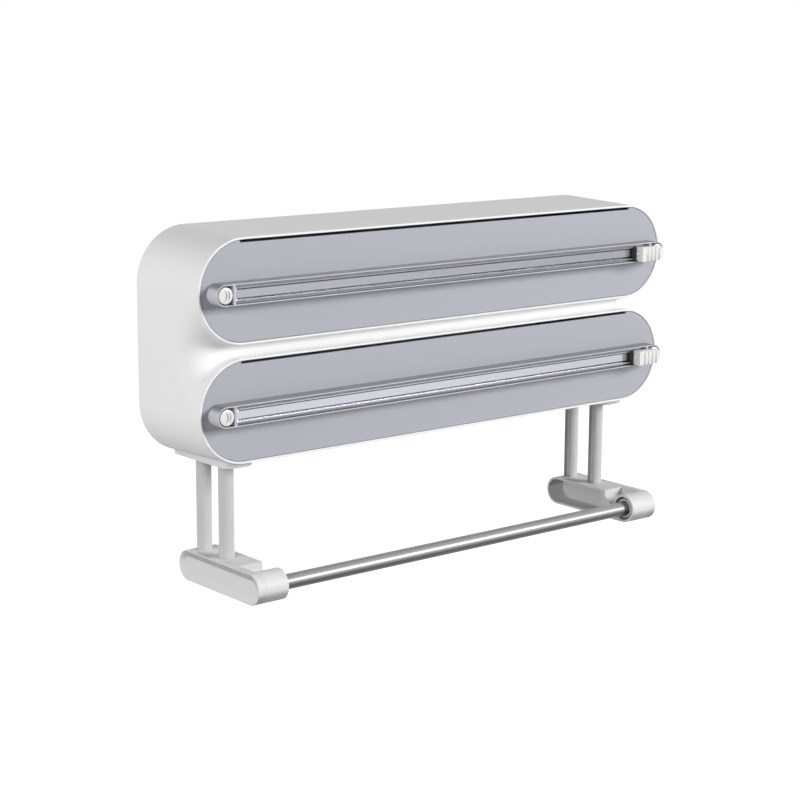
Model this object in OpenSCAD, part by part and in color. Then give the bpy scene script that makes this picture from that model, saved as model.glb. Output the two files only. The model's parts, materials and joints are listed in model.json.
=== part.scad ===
// Wall-mounted double film dispenser: two pull-out roll bays with slide cutters,
// and a rod for a paper roll carried under the body on two brackets.
// The wall is the plane y = 0, the front looks towards -Y and +Z is up.

/* [Body] */
// Straight stretch between the round ends of a bay
bay_straight = 330; // [300:2:360]
// Outer radius of a bay's round ends at the front rim
rim_r = 33; // [31:0.1:36]
// Height of the strip of waist between the two rims
waist_strip = 8.3; // [6.8:0.1:12]
// Growth of that radius from the front rim to the wall
draft = 2.4; // [1.5:0.1:3]
// Depth of the body from the wall to the front rims
body_d = 65.5; // [60:0.5:74]
// Wall thickness of the shell
shell_wall = 1.5; // [1.3:0.1:1.6]
// Distance of the waist's face behind the front rims
waist_back = 10; // [6:0.5:14]
// Radius of the waist's upright corners
waist_corner_r = 20; // [12:1:24]
// Thickness of the back plate
plate_t = 2.5; // [2:0.1:3]

/* [Wall holes] */
// Distance between the two holes of a row
wall_hole_pitch = 240; // [180:5:270]
// Radius of the wall screw holes and of the keyhole slots
wall_hole_r = 2.3; // [1.8:0.1:2.8]
// Radius of the keyholes' wide ends
key_head_r = 4.6; // [4:0.1:6]
// Length of a keyhole's slot above its wide end
key_rise = 9; // [7:0.5:12]

/* [Drawer front] */
// Gap between a drawer front and the rim round it
front_gap = 0.3; // [0.2:0.05:0.4]
// Distance of a drawer front's face behind the rim
front_inset = 0.6; // [0.4:0.1:1]
// Thickness of a drawer front
front_t = 2.2; // [2:0.1:2.6]
// Height of the film slot along the top edge
film_slot_h = 1.9; // [1.2:0.1:2.4]

/* [Roll tray] */
// Distance of the tray's ends inside the centres of the bay's round ends
tray_in = 5; // [3:0.5:12]
// Thickness of the tray's floor and end cheeks
tray_t = 1.8; // [1.5:0.1:2.2]
// Height of the tray's underside above the bottom of the bay's mouth
tray_clear = 4; // [3.5:0.1:5]
// Depth of the cheeks' top edges below the centre line
cheek_drop = 6; // [5:0.5:9]
// Distance of the tray's rear edge from the wall
tray_rear = 9; // [7:0.5:10]
// Radius of the rollers that carry the film roll
roller_r = 4; // [3:0.1:4.4]
// Radius of the rollers' journals
journal_r = 1.5; // [1.2:0.1:2]
// Distance between the two rollers
roller_pitch = 24; // [18:1:26]

/* [Cutter rail] */
// Distance that the rail stands out from the drawer front
rail_proud = 10.8; // [9.8:0.1:12]
// Outer radius of the rail's round ends
rail_r = 6.7; // [6.5:0.1:7.2]
// Distance of the buttons' axes inside the ends of the bay's mouth
rail_in = 11.3; // [9.6:0.1:14]
// Wall thickness of the rail housing
rail_wall = 0.9; // [0.7:0.1:1]
// Depth of the channel in the rail's face
channel_d = 3.8; // [3.7:0.1:4.4]
// Thickness of the upright dividers beside the buttons
divider_t = 1.8; // [1.2:0.1:2.2]
// Gap between a divider and its round button
divider_gap = 0.65; // [0.4:0.05:1]

/* [Buttons] */
// Gap round a button in its well
button_gap = 0.75; // [0.5:0.05:1]
// Distance that a button is pressed in
button_travel = 1.8; // [1.4:0.1:1.8]
// Radius of a button's stem
stem_r = 2; // [1.8:0.1:2.1]

/* [Slide cutter] */
// Gap above and below the cutter's grip in the channel
grip_gap = 0.7; // [0.4:0.1:1.2]
// Length of the cutter's grip
grip_len = 21.2; // [18:0.1:22]
// Distance that the grip stands out from the rail
grip_proud = 5.7; // [3:0.1:6.5]
// Length of the grip that lies over the channel when it is parked
grip_over_len = 11.9; // [8:0.1:13]
// Distance that the grip sits below the middle of the rail
grip_drop = 0.7; // [0:0.1:1]
// Distance that the dark foot shows beside the grip
foot_show = 2.5; // [1.5:0.1:4]

/* [Roll holder] */
// Distance of the holder's centre planes inside the ends of the rims
holder_in = 34.95; // [34:0.05:46]
// Thickness of an arm's outer cover
cover_w = 5.4; // [4:0.1:7]
// Radius of an arm's round ends
arm_r = 10; // [9.5:0.1:11]
// Distance of an arm's rear end from the wall
arm_rear = 3; // [1:0.5:6]
// Distance of the rod's axis in front of the rims
rod_ahead = 16.5; // [13:0.5:30]
// Depth of the rod's axis below the body's underside
rod_drop = 72.75; // [60:0.25:90]
// Radius of the rod
rod_r = 4.9; // [4.4:0.1:5.2]
// Radius of the four posts
post_r = 5; // [4.5:0.1:6]
// Distance of the front posts behind the front edges of their plates
post_in = 17.7; // [16:0.1:19]
// Distance between a rear post and its front post
post_pitch = 25; // [20:0.5:27]
// Distance that the right rod cup springs back
cup_travel = 6.6; // [5:0.1:6.6]

/* [Hidden] */

$fn = 96;

// Shared clearances and the overrun of every cut
seat_gap = 0.3;
slide_gap = 0.2;
run_gap = 0.05;
over = 1;

// Finishes
shell_white = [0.95, 0.95, 0.95];
panel_grey = [0.70, 0.71, 0.74];
rail_grey = [0.74, 0.75, 0.78];
metal_grey = [0.80, 0.81, 0.83];
dark_grey = [0.16, 0.16, 0.17];
inner_grey = [0.45, 0.46, 0.48];

// Places shared by several pieces
bay_half = bay_straight/2;
bay_pitch = 2*rim_r + waist_strip;
upper_z = bay_pitch/2;
lower_z = -bay_pitch/2;
bay_r = rim_r - shell_wall;
rim_y = -body_d;
face_y = rim_y + front_inset;
behind_y = face_y + front_t;
rail_y = face_y - rail_proud;
waist_y = rim_y + waist_back;
sides = [-1, 1];
bays = [upper_z, lower_z];
tray_half = bay_half - tray_in;
tray_drop = bay_r - tray_clear;
rail_half = bay_half + bay_r - rail_in;
button_r = rail_r - rail_wall - button_gap;
grip_h = 2*(rail_r - rail_wall - grip_gap);
holder_x = bay_half + rim_r - holder_in;
rod_y = body_d + rod_ahead;
rod_z = -lower_z + rim_r + draft + rod_drop;

// Outer radius of the drafted shell at a depth y
function shell_r(y) = rim_r + draft*(body_d + y)/body_d;

// A stadium drawn along X
module stadium(half, r) {
    for (s = sides)
        translate([s*half, 0])
            circle(r = r);
    square([2*half, 2*r], center = true);
}

// A stadium along X that grows or shrinks with height
module stadium_frustum(half, r_low, r_high, h) {
    for (s = sides)
        translate([s*half, 0, 0])
            cylinder(h = h, r1 = r_low, r2 = r_high);
    rotate([90, 0, 90])
        translate([0, 0, -half])
            linear_extrude(height = 2*half)
                polygon([[-r_low, 0], [r_low, 0], [r_high, h], [-r_high, h]]);
}

// Extrudes an outline drawn in x and z between two depths
module along_y(y_front, y_back) {
    translate([0, y_back, 0])
        rotate([90, 0, 0])
            linear_extrude(height = y_back - y_front)
                children();
}

// Extrudes an outline drawn in y and z between two places across
module along_x(x_low, x_high) {
    translate([x_low, 0, 0])
        rotate([90, 0, 90])
            linear_extrude(height = x_high - x_low)
                children();
}

// Extrudes an outline drawn in x and y between two heights
module along_z(z_low, z_high) {
    translate([0, 0, z_low])
        linear_extrude(height = z_high - z_low)
            children();
}

// A box between two corners
module block(low, high) {
    translate(low)
        cube(high - low);
}

// Round bar along X or Y or Z
module bar_x(x_low, x_high, r) {
    translate([x_low, 0, 0])
        rotate([0, 90, 0])
            cylinder(h = x_high - x_low, r = r);
}

module bar_y(y_front, y_back, r) {
    translate([0, y_front, 0])
        rotate([-90, 0, 0])
            cylinder(h = y_back - y_front, r = r);
}

module bar_z(z_low, z_high, r) {
    translate([0, 0, z_low])
        cylinder(h = z_high - z_low, r = r);
}

// Puts what is drawn for the right side on either side
module on_side(side) {
    if (side < 0)
        mirror([1, 0, 0])
            children();
    else
        children();
}

// One bay of the shell as a drafted solid, inset from its outer face
module bay_form(z, inset, ahead, behind) {
    translate([0, behind, z])
        rotate([90, 0, 0])
            stadium_frustum(bay_half, shell_r(behind) - inset, shell_r(rim_y - ahead) - inset,
                body_d + ahead + behind);
}

// The waist between the bays: flat sides with the shell's draft, and round upright corners
module waist_form(inset) {
    side_len = sqrt(draft*draft + body_d*body_d);
    n_x = body_d/side_len;
    n_y = -draft/side_len;
    back_x = bay_half + shell_r(0);
    centre_y = waist_y + waist_corner_r;
    centre_x = back_x + (-waist_corner_r - n_y*centre_y)/n_x;
    r = waist_corner_r - inset;
    along_z(lower_z, upper_z) {
        polygon([[-back_x + inset/n_x, 0], [-centre_x - r*n_x, centre_y + r*n_y],
            [-centre_x, centre_y - r], [centre_x, centre_y - r],
            [centre_x + r*n_x, centre_y + r*n_y], [back_x - inset/n_x, 0]]);
        for (s = sides)
            translate([s*centre_x, centre_y])
                circle(r = r);
    }
}

// Screws that hold the back plate
screw_mid = 60;
screw_beyond = 13;
screw_places = [-bay_half - screw_beyond, -screw_mid, screw_mid, bay_half + screw_beyond];
boss_r = 3.2;
pilot_r = 1.15;
screw_r = 1.1;
screw_len = 14;
screw_head_r = 2.8;
screw_head_h = 1.5;
screw_hole_r = 1.5;
head_gap = 0.1;

// Guides and stops inside a bay
runner_in = 45;
runner_x = bay_half - runner_in;
runner_w = 3;
runner_front = 7.5;
runner_rear = 5;
shelf_cover = 2.5;
shelf_in = tray_half - shelf_cover;
shelf_t = 1.8;
shelf_front = 9.5;
stop_half = 30;
stop_t = 2;
stop_back = 1;
stop_y = behind_y + stop_back;
hook_t = 3;
hook_in = 1.4;
hook_y = -tray_rear - hook_in - hook_t;
hook_drop = 2.5;
stop_cover = 1.7;

// Magnet catches in the upper quarter of each round end
magnet_r = 3;
magnet_t = 2;
magnet_in = 3.2;
magnet_off = (bay_r - magnet_in)*sin(45);
magnet_gap = 0.3;
lug_half = 3.8;
lug_d = 6;
lug_reach = 6;
strike_t = 1.5;
lug_y = behind_y + strike_t + magnet_gap;

module bay_guides(z) {
    // runners under the tray
    for (s = sides)
        translate([s*runner_x, 0, z])
            block([-runner_w/2, rim_y + runner_front, -shell_r(0)],
                [runner_w/2, -runner_rear, -tray_drop - seat_gap]);
    // shelves over the cheeks
    for (s = sides)
        on_side(s)
            translate([0, 0, z])
                block([shelf_in, rim_y + shelf_front, -cheek_drop + seat_gap],
                    [bay_half + shell_r(0), -runner_rear, -cheek_drop + seat_gap + shelf_t]);
    // stop bar that the tray's hook meets when the drawer is out
    translate([0, 0, z])
        block([-stop_half, stop_y, -shell_r(0)],
            [stop_half, stop_y + stop_t, -tray_drop - hook_drop + stop_cover]);
    // lugs that hold the catch magnets
    for (s = sides)
        on_side(s)
            translate([bay_half + magnet_off, 0, z + magnet_off])
                block([-lug_half, lug_y, -lug_half], [lug_reach, lug_y + lug_d, lug_half]);
}

bracket_inset = 6.9;
bracket_front = body_d - bracket_inset;
bracket_screw_in = 5.6;
bracket_screw_places = [bracket_front - post_in - post_pitch/2, bracket_front - bracket_screw_in];
bracket_boss_r = 3;
bracket_boss_h = 3.5;

module front_shell() {
    color(shell_white)
        difference() {
            union() {
                difference() {
                    union() {
                        for (z = bays)
                            bay_form(z, 0, 0, 0);
                        waist_form(0);
                    }
                    // hollow between the two bays
                    difference() {
                        translate([0, over, 0])
                            waist_form(shell_wall);
                        for (z = bays)
                            bay_form(z, 0, over, 2*over);
                    }
                    for (z = bays)
                        bay_form(z, shell_wall, over, over);
                }
                // posts for the back plate's screws
                for (x = screw_places)
                    translate([x, 0, 0])
                        bar_y(waist_y + shell_wall/2, -plate_t, boss_r);
                // inner guides, trimmed to the bay
                for (z = bays)
                    intersection() {
                        bay_form(z, shell_wall/2, 0, 0);
                        bay_guides(z);
                    }
                // bosses for the bracket screws
                for (s = sides, y = bracket_screw_places)
                    translate([s*holder_x, -y, lower_z - shell_r(-y)])
                        bar_z(shell_wall/2, shell_wall + bracket_boss_h, bracket_boss_r);
            }
            // seat of the back plate
            along_y(-plate_t, over)
                back_outline(shell_r(0) - shell_wall);
            for (x = screw_places)
                translate([x, 0, 0])
                    bar_y(-screw_len - over, over, pilot_r);
            for (s = sides, z = bays)
                translate([s*(bay_half + magnet_off), 0, z + magnet_off])
                    bar_y(lug_y - over, lug_y + magnet_t, magnet_r);
            for (s = sides, y = bracket_screw_places)
                translate([s*holder_x, -y, lower_z - shell_r(-y)])
                    bar_z(-over, shell_wall + bracket_boss_h - shell_wall/2, pilot_r);
        }
}

// Outline of the back: a rectangle with its corners on the bays' round ends
module back_outline(r) {
    translate([0, upper_z])
        stadium(bay_half, r);
    translate([0, lower_z])
        stadium(bay_half, r);
    square([2*(bay_half + r), bay_pitch], center = true);
}

plate_gap = 0.4;

module back_plate() {
    color(inner_grey)
        difference() {
            along_y(-plate_t, 0)
                back_outline(shell_r(0) - shell_wall - plate_gap);
            for (x = screw_places)
                translate([x, 0, 0]) {
                    bar_y(-plate_t - over, over, screw_hole_r);
                    translate([0, -screw_head_h - head_gap, 0])
                        rotate([-90, 0, 0])
                            cylinder(h = screw_head_h + head_gap, r1 = screw_hole_r, r2 = screw_head_r + head_gap);
                }
            for (s = sides) {
                // plain holes in the lower row
                translate([s*wall_hole_pitch/2, 0, lower_z])
                    bar_y(-plate_t - over, over, wall_hole_r);
                // keyholes in the upper row
                translate([s*wall_hole_pitch/2, 0, upper_z]) {
                    bar_y(-plate_t - over, over, key_head_r);
                    translate([0, 0, key_rise])
                        bar_y(-plate_t - over, over, wall_hole_r);
                    block([-wall_hole_r, -plate_t - over, 0], [wall_hole_r, over, key_rise]);
                }
            }
        }
}

module back_screws() {
    color(metal_grey)
        for (x = screw_places)
            translate([x, 0, 0]) {
                bar_y(-screw_len, -screw_head_h, screw_r);
                translate([0, -screw_head_h, 0])
                    rotate([-90, 0, 0])
                        cylinder(h = screw_head_h - head_gap, r1 = screw_r, r2 = screw_head_r);
            }
}

module catch_magnets() {
    color(dark_grey)
        for (s = sides, z = bays)
            translate([s*(bay_half + magnet_off), 0, z + magnet_off])
                bar_y(lug_y, lug_y + magnet_t, magnet_r - run_gap);
}

// Latch that holds the rail on the drawer front, measured from the button's axis
stem_tip = 1.1;
wedge_gap = 0.28;
latch_t = 1.6;
latch_h = 4;
latch_lead = 0.6;
latch_tail = 4.3;
latch_body = 5.7;
window_gap = 0.4;
window_half = stem_r + window_gap;
window_in = 0.4;
tongue_h = 2.3;
tongue_len = 3.6;
tongue_gap = 0.3;
lug_w = 3.5;
lug_notch = 1.4;
lug_tip = 3.5;
notch_gap = 0.2;
guide_wall = 1.3;
cover_t = 1.2;
stop_wall = 1.2;
spring_room = 3;
latch_spring_r = 1;
latch_spring_wire = 0.35;
latch_y = behind_y + latch_lead;
tongue_x = -latch_body - tongue_len;
notch_x = tongue_x - tongue_gap;
guide_depth = latch_lead + latch_t + notch_gap;
cover_y = behind_y + guide_depth;

// Lug of the rail housing that the latch's tongue holds, as an outline in x and y
module rail_lug() {
    lug_out = notch_x + lug_notch;
    translate([rail_half, 0, 0])
        difference() {
            block([lug_out - lug_w, face_y - over, -tongue_h - notch_gap],
                [lug_out, behind_y + lug_tip, tongue_h + notch_gap]);
            block([notch_x, latch_y - notch_gap, -latch_h],
                [lug_out + over, latch_y + latch_t + notch_gap, latch_h]);
        }
}

// Slots and holes of a drawer front for the rail's lugs and the buttons' stems
module front_cuts() {
    lug_out = notch_x + lug_notch;
    translate([rail_half, 0, 0]) {
        block([lug_out - lug_w - seat_gap, face_y - over, -tongue_h - notch_gap - seat_gap],
            [lug_out + seat_gap, behind_y + over, tongue_h + notch_gap + seat_gap]);
        bar_y(face_y - over, behind_y + over, stem_r + seat_gap);
    }
}

// Walls on the back of a drawer front that guide a latch
module latch_guides() {
    tail = latch_tail + spring_room;
    translate([rail_half, 0, 0]) {
        for (m = sides)
            translate([0, 0, m*(latch_h + seat_gap + guide_wall/2)])
                block([-latch_body, behind_y, -guide_wall/2],
                    [tail + stop_wall, cover_y, guide_wall/2]);
        block([tail, behind_y, -latch_h - seat_gap], [tail + stop_wall, cover_y, latch_h + seat_gap]);
    }
}

module drawer_front(z) {
    color(panel_grey)
        translate([0, 0, z]) {
            difference() {
                along_y(face_y, behind_y)
                    stadium(bay_half, bay_r - front_gap);
                // film slot along the straight top edge
                block([-bay_half - film_slot_h, face_y - over, bay_r - film_slot_h],
                    [bay_half + film_slot_h, behind_y + over, bay_r + over]);
                for (s = sides)
                    on_side(s)
                        front_cuts();
            }
            for (s = sides)
                on_side(s)
                    latch_guides();
        }
}

lip_h = 13.5;
roller_lift = 8;
roller_drop = tray_drop - roller_lift;
tray_mid = (behind_y - tray_rear)/2;
roller_places = [tray_mid - roller_pitch/2, tray_mid + roller_pitch/2];
hook_half = stop_half - over;

module roll_tray(z) {
    floor_top = -tray_drop + tray_t;
    rear_y = -tray_rear;
    color(inner_grey)
        translate([0, 0, z])
            difference() {
                union() {
                    block([-tray_half, behind_y, -tray_drop], [tray_half, rear_y, floor_top]);
                    for (s = sides)
                        on_side(s)
                            block([tray_half - tray_t, behind_y, -tray_drop],
                                [tray_half, rear_y, -cheek_drop]);
                    block([-tray_half, rear_y - tray_t, -tray_drop],
                        [tray_half, rear_y, -tray_drop + lip_h]);
                    block([-hook_half, hook_y, -tray_drop - hook_drop],
                        [hook_half, hook_y + hook_t, floor_top]);
                }
                for (y = roller_places)
                    translate([0, y, -roller_drop])
                        bar_x(-tray_half - over, tray_half + over, journal_r + run_gap);
            }
}

module roller(z, place) {
    color(metal_grey)
        translate([0, roller_places[place], z - roller_drop]) {
            bar_x(-tray_half + tray_t + seat_gap, tray_half - tray_t - seat_gap, roller_r);
            bar_x(-tray_half, tray_half, journal_r);
        }
}

module strike_plates(z) {
    color(metal_grey)
        for (s = sides)
            translate([s*(bay_half + magnet_off), 0, z + magnet_off])
                bar_y(behind_y, behind_y + strike_t, magnet_r);
}

// Rail housing, with the track's channel in its face and a button well at each end
well_floor = 3.1;
rail_back_wall = 1.5;
rail_core_wall = 2.2;
rail_core_h = rail_r - rail_core_wall;
rail_core_in = 15;
cap_proud = 0.4;
channel_y = rail_y + channel_d;
well_y = face_y - well_floor;
divider_out = rail_half - button_r - divider_gap;
divider_in = divider_out - divider_t;

module rail_housing(z) {
    inner_r = rail_r - rail_wall;
    color(rail_grey)
        translate([0, 0, z])
            difference() {
                union() {
                    along_y(rail_y, face_y)
                        stadium(rail_half, rail_r);
                    for (s = sides)
                        on_side(s)
                            rail_lug();
                }
                block([-divider_in, rail_y - over, -inner_r], [divider_in, channel_y, inner_r]);
                for (s = sides)
                    on_side(s) {
                        intersection() {
                            along_y(rail_y - over, well_y)
                                stadium(rail_half, inner_r);
                            block([divider_out, rail_y - 2*over, -rail_r],
                                [rail_half + rail_r, well_y + over, rail_r]);
                        }
                        translate([rail_half, 0, 0])
                            bar_y(well_y - over, face_y + over, stem_r + run_gap);
                    }
                // hollow behind the channel
                block([-divider_in + rail_core_in, channel_y + rail_back_wall, -rail_core_h],
                    [divider_in - rail_core_in, face_y + over, rail_core_h]);
            }
}

// Cutter track: a channel with inward lips and a raised band along its floor
track_margin = 1.4;
track_h = rail_r - rail_wall - track_margin;
track_web = 0.6;
track_flange = 0.5;
track_lip = 0.4;
track_lip_t = 0.5;
band_h = 2.6;
band_t = 0.5;
track_deep = 2.6;
track_back = channel_y;
track_front = track_back - track_deep;

module cutter_track(z) {
    inner_h = track_h - track_flange;
    color(metal_grey)
        translate([0, 0, z])
            along_x(-divider_in + seat_gap, divider_in - seat_gap) {
                polygon([[track_back, -track_h], [track_front, -track_h],
                    [track_front, -inner_h + track_lip], [track_front + track_lip_t, -inner_h + track_lip],
                    [track_front + track_lip_t, -inner_h], [track_back - track_web, -inner_h],
                    [track_back - track_web, -band_h], [track_back - track_web - band_t, -band_h],
                    [track_back - track_web - band_t, band_h], [track_back - track_web, band_h],
                    [track_back - track_web, inner_h], [track_front + track_lip_t, inner_h],
                    [track_front + track_lip_t, inner_h - track_lip], [track_front, inner_h - track_lip],
                    [track_front, track_h], [track_back, track_h]]);
            }
}

// Slide cutter, drawn parked at the right end of its track
foot_base_t = 0.6;
foot_end_gap = 0.5;
blade_t = 0.4;
blade_show = 1.3;
blade_len = 6;
blade_h = 1.7;
blade_slot_gap = 0.1;
scallop_r = 1.6;
scallop_d = 0.6;
scallop_share = 0.18;
scallop_in = 0.7;
scallop_pitch = scallop_share*grip_len;
scallop_count = 4;
foot_right = divider_in - seat_gap - foot_end_gap;
foot_front = track_front - seat_gap;
foot_height = track_h - track_flange - seat_gap;
neck_height = track_h - track_flange - track_lip - seat_gap;
foot_back = track_back - track_web - band_t - slide_gap;
grip_left = foot_right - grip_over_len;
grip_right = grip_left + grip_len;
grip_front = rail_y - grip_proud;
grip_over = rail_y - cap_proud - seat_gap;
foot_left = grip_left - foot_show;

module blade_outline(grow) {
    tip = grip_left - blade_show;
    low = rail_y - blade_h/2;
    polygon([[tip - grow, low], [grip_left, low - blade_h - grow], [grip_left + blade_len + grow, low - blade_h - grow],
        [grip_left + blade_len + grow, low + blade_h + grow], [grip_left, low + blade_h + grow]]);
}

module cutter_blade(z) {
    color(metal_grey)
        translate([0, 0, z])
            along_z(-blade_t/2, blade_t/2)
                blade_outline(0);
}

module blade_slot() {
    along_z(-blade_t/2 - blade_slot_gap, blade_t/2 + blade_slot_gap)
        blade_outline(blade_slot_gap);
}

module cutter_foot(z) {
    color(dark_grey)
        translate([0, 0, z])
            difference() {
                union() {
                    block([foot_left, foot_back - foot_base_t, -foot_height],
                        [foot_right, foot_back, foot_height]);
                    block([foot_left, foot_front, -neck_height],
                        [foot_right, foot_back - foot_base_t, neck_height]);
                    block([foot_left, foot_front - foot_base_t, -grip_h/2],
                        [grip_left - slide_gap, foot_front, grip_h/2]);
                }
                blade_slot();
            }
}

module cutter_grip(z) {
    round_r = grip_h/2;
    color(shell_white)
        translate([0, 0, z])
            difference() {
                union() {
                    translate([0, 0, -grip_drop])
                        along_y(grip_front, grip_over) {
                            translate([grip_right - round_r, 0])
                                circle(r = round_r);
                            translate([grip_left, -round_r])
                                square([grip_len - round_r, grip_h]);
                        }
                    block([grip_left, grip_over - over, -round_r], [foot_right, foot_front, round_r - grip_drop]);
                }
                for (i = [0 : scallop_count - 1])
                    translate([grip_left + scallop_in + scallop_pitch*(i + 1), grip_front - scallop_r + scallop_d, 0])
                        bar_z(-2*grip_h, grip_h, scallop_r);
                blade_slot();
            }
}

// Round button with its stem and the wedge that drives the latch
cap_t = 3.1;
ridge_r = 4.2;
ridge_d = 0.5;
ridge_places = [0.9, 2.9];
ridge_w = 0.7;
wedge_len = 12;

module button(z, side) {
    tip_y = latch_y + stem_tip - latch_lead;
    color(shell_white)
        translate([0, 0, z])
            on_side(side)
                translate([rail_half, 0, 0])
                    difference() {
                        union() {
                            bar_y(rail_y - cap_proud, rail_y + cap_t, button_r);
                            bar_y(rail_y + cap_t/2, tip_y, stem_r);
                        }
                        // grooves across the cap, curved towards the rail
                        for (x = ridge_places)
                            translate([ridge_r - x, 0, 0])
                                difference() {
                                    bar_y(rail_y - over, rail_y - cap_proud + ridge_d, ridge_r + ridge_w/2);
                                    bar_y(rail_y - 2*over, rail_y + ridge_d, ridge_r - ridge_w/2);
                                    block([-ridge_r/2, rail_y - 2*over, -2*ridge_r],
                                        [2*ridge_r, rail_y + over, 2*ridge_r]);
                                }
                        // sloping face of the stem's end
                        translate([-stem_r, tip_y, 0])
                            rotate([0, 0, -45])
                                block([0, 0, -2*stem_r], [wedge_len, wedge_len, 2*stem_r]);
                    }
}

module latch(z, side) {
    tip_y = latch_y + stem_tip - latch_lead;
    slope_x = -stem_r + tip_y + wedge_gap;
    color(dark_grey)
        translate([0, 0, z])
            on_side(side)
                translate([rail_half, 0, 0])
                    difference() {
                        union() {
                            block([-latch_body + seat_gap, latch_y, -latch_h],
                                [latch_tail, latch_y + latch_t, latch_h]);
                            block([tongue_x, latch_y, -tongue_h],
                                [0, latch_y + latch_t, tongue_h]);
                        }
                        along_z(-window_half, window_half)
                            polygon([[-stem_r - button_travel - window_in, latch_y - over],
                                [slope_x - latch_y + over, latch_y - over],
                                [slope_x - latch_y - latch_t - over, latch_y + latch_t + over],
                                [-stem_r - button_travel - window_in, latch_y + latch_t + over]]);
                    }
}

module latch_covers(z) {
    color(inner_grey)
        translate([0, 0, z])
            for (s = sides)
                on_side(s)
                    translate([rail_half, 0, 0])
                        difference() {
                            block([-latch_body, cover_y, -latch_h - seat_gap - guide_wall],
                                [latch_tail + spring_room + stop_wall, cover_y + cover_t,
                                latch_h + seat_gap + guide_wall]);
                            bar_y(cover_y - over, cover_y + cover_t + over, stem_r + seat_gap);
                        }
}

module latch_springs(z) {
    spring_end = latch_tail + spring_room;
    spring_start = latch_tail + button_travel + slide_gap;
    color(metal_grey)
        translate([0, 0, z])
            for (s = sides)
                on_side(s)
                    translate([rail_half, latch_y + latch_t/2, 0])
                        difference() {
                            bar_x(spring_start, spring_end, latch_spring_r);
                            bar_x(spring_start - over, spring_end + over,
                                latch_spring_r - latch_spring_wire);
                        }
}

button_spring_r = 3.2;
button_spring_wire = 0.6;

module button_springs(z) {
    color(metal_grey)
        translate([0, 0, z])
            for (s = sides)
                translate([s*rail_half, 0, 0])
                    difference() {
                        bar_y(rail_y + cap_t + button_travel + slide_gap, well_y, button_spring_r);
                        bar_y(rail_y, well_y + over, button_spring_r - button_spring_wire);
                    }
}

// Roll holder under the body
socket_wall = 1.6;
socket_r = arm_r - socket_wall;
cup_front = 0.8;
cup_gap = 1.9;
cup_r = socket_r - cup_gap;
cup_wall = 0.8;
cup_deep = 3.5;
cup_floor = 2.5;
cup_flange = 2;
cup_back = cup_front + cup_deep + cup_floor + cup_flange;
spring_solid = 1.7;
arm_w = cup_back + cup_travel + slide_gap + spring_solid + cover_w;
arm_half = (rod_y - arm_rear - arm_r)/2;
arm_mid = -(rod_y + arm_rear + arm_r)/2;
arm_in = holder_x - arm_w/2;
arm_out = holder_x + arm_w/2;
arm_seam = arm_out - cover_w;
arm_floor = 2.8;
arm_wall = 1.5;
arm_top = -rod_z + arm_r;
step_back = 18.5;
step_y = -rod_y + step_back;
step_h = 4.4;
step_rib = 4;
notch_w = 8.6;
dish_d = 2;
dish_lip = 0.4;
dish_in = 2.6;
peg_r = 1.5;
peg_len = 2.2;
peg_shares = [0.5, -0.25];
peg_places = [for (share = peg_shares) arm_mid + share*arm_half];
spigot_step = 2;
spigot_r = post_r - spigot_step;
spigot_len = 1.4;
post_groove_share = 0.62;
post_core_share = 0.24;
bracket_skin = 1.65;
bracket_low = lower_z - shell_r(0) - bracket_skin;
bracket_corner = 8;
bracket_gap = 0.05;
holder_screw_len = 5.2;
holder_head_r = 2.6;
holder_head_h = 1.1;
post_front = -bracket_front + post_in;
post_places = [post_front + post_pitch, post_front];
flange_r = socket_r - 2*run_gap;
pin_r = 2.5;
rod_wall = 0.6;
plug_len = 12;
rod_end = arm_in + cup_front + cup_deep - seat_gap;

// Plate under the body that carries two posts, shaped to the body's underside
module bracket_plate(side) {
    color(shell_white)
        on_side(side)
            difference() {
                along_z(bracket_low, lower_z - rim_r/2)
                    translate([holder_x, 0]) {
                        translate([-arm_w/2, -bracket_front + bracket_corner])
                            square([arm_w, bracket_front - bracket_corner]);
                        translate([-arm_w/2 + bracket_corner, -bracket_front])
                            square([arm_w - 2*bracket_corner, bracket_front]);
                        for (s = sides)
                            translate([s*(arm_w/2 - bracket_corner), -bracket_front + bracket_corner])
                                circle(r = bracket_corner);
                    }
                bay_form(lower_z, -bracket_gap, over, over);
                for (y = post_places)
                    translate([holder_x, y, 0])
                        bar_z(bracket_low - over, bracket_low + spigot_len, spigot_r + run_gap);
                for (y = bracket_screw_places)
                    translate([holder_x, -y, 0]) {
                        bar_z(bracket_low - over, lower_z, screw_hole_r);
                        bar_z(bracket_low - over, bracket_low + holder_head_h + head_gap,
                            holder_head_r + head_gap);
                    }
            }
}

module bracket_screws() {
    color(metal_grey)
        for (s = sides, y = bracket_screw_places)
            translate([s*holder_x, -y, 0]) {
                bar_z(bracket_low + head_gap, bracket_low + holder_head_h, holder_head_r);
                bar_z(bracket_low + holder_head_h/2, bracket_low + holder_head_h + holder_screw_len, screw_r);
            }
}

module post(side, place) {
    groove_half = post_groove_share*post_r;
    color(shell_white)
        on_side(side)
            translate([holder_x, post_places[place], 0])
                difference() {
                    union() {
                        bar_z(arm_top, bracket_low, post_r);
                        bar_z(arm_top - spigot_len, bracket_low + spigot_len - head_gap, spigot_r);
                    }
                    // groove on the side that faces the roll
                    block([-post_r - over, -groove_half, arm_top],
                        [-post_core_share*post_r, groove_half, bracket_low]);
                }
}

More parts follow.
